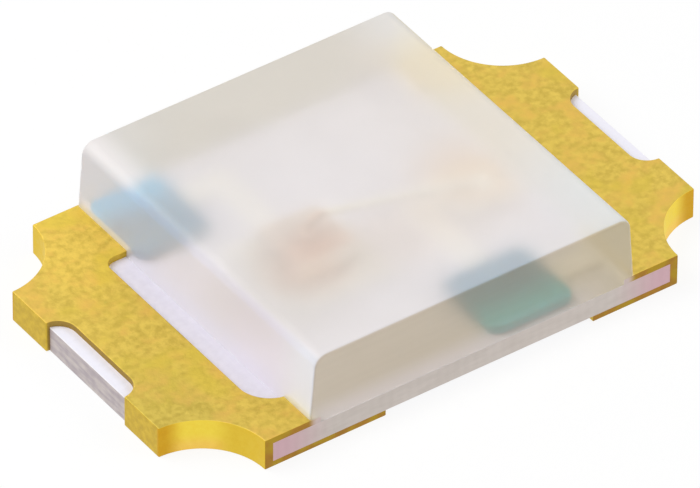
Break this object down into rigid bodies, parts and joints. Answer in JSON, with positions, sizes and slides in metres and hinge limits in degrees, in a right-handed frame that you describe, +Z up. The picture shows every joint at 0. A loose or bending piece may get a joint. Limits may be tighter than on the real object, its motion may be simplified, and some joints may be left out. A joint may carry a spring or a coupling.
{
  "type": "surface-mount chip led",
  "caption": "Thin chip LED: white resin board with gold wrap-around notched end terminals and a milky rectangular lens over a wire-bonded die.",
  "frame": {"origin": "under the middle of the part, on the plane of the solder faces", "axes": "+X along the board from the cathode end to the anode end, +Y across the board, +Z up through the lens"},
  "size_m": [0.002, 0.0012, 0.0003],
  "materials": {
    "white_resin": "matte white glass-resin laminate with sawn sides",
    "gold_plating": "satin gold plating over copper",
    "teal_resist": "printed blue-green solder resist",
    "silver_adhesive": "silver-filled adhesive",
    "die_crystal": "sawn semiconductor crystal",
    "gold_wire": "bright drawn gold",
    "milky_epoxy": "glossy milky epoxy, satin on the sawn sides",
    "green_resist": "printed green solder resist"
  },
  "bodies": {
    "root": {"substrate": "white_resin", "cathode_terminal": "gold_plating", "anode_terminal": "gold_plating", "cathode_resist_dam": "teal_resist", "anode_resist_dam": "teal_resist", "die_attach": "silver_adhesive", "led_die": "die_crystal", "bond_wire": "gold_wire", "lens": "milky_epoxy", "polarity_mark": "green_resist"}
  },
  "joints": []
}
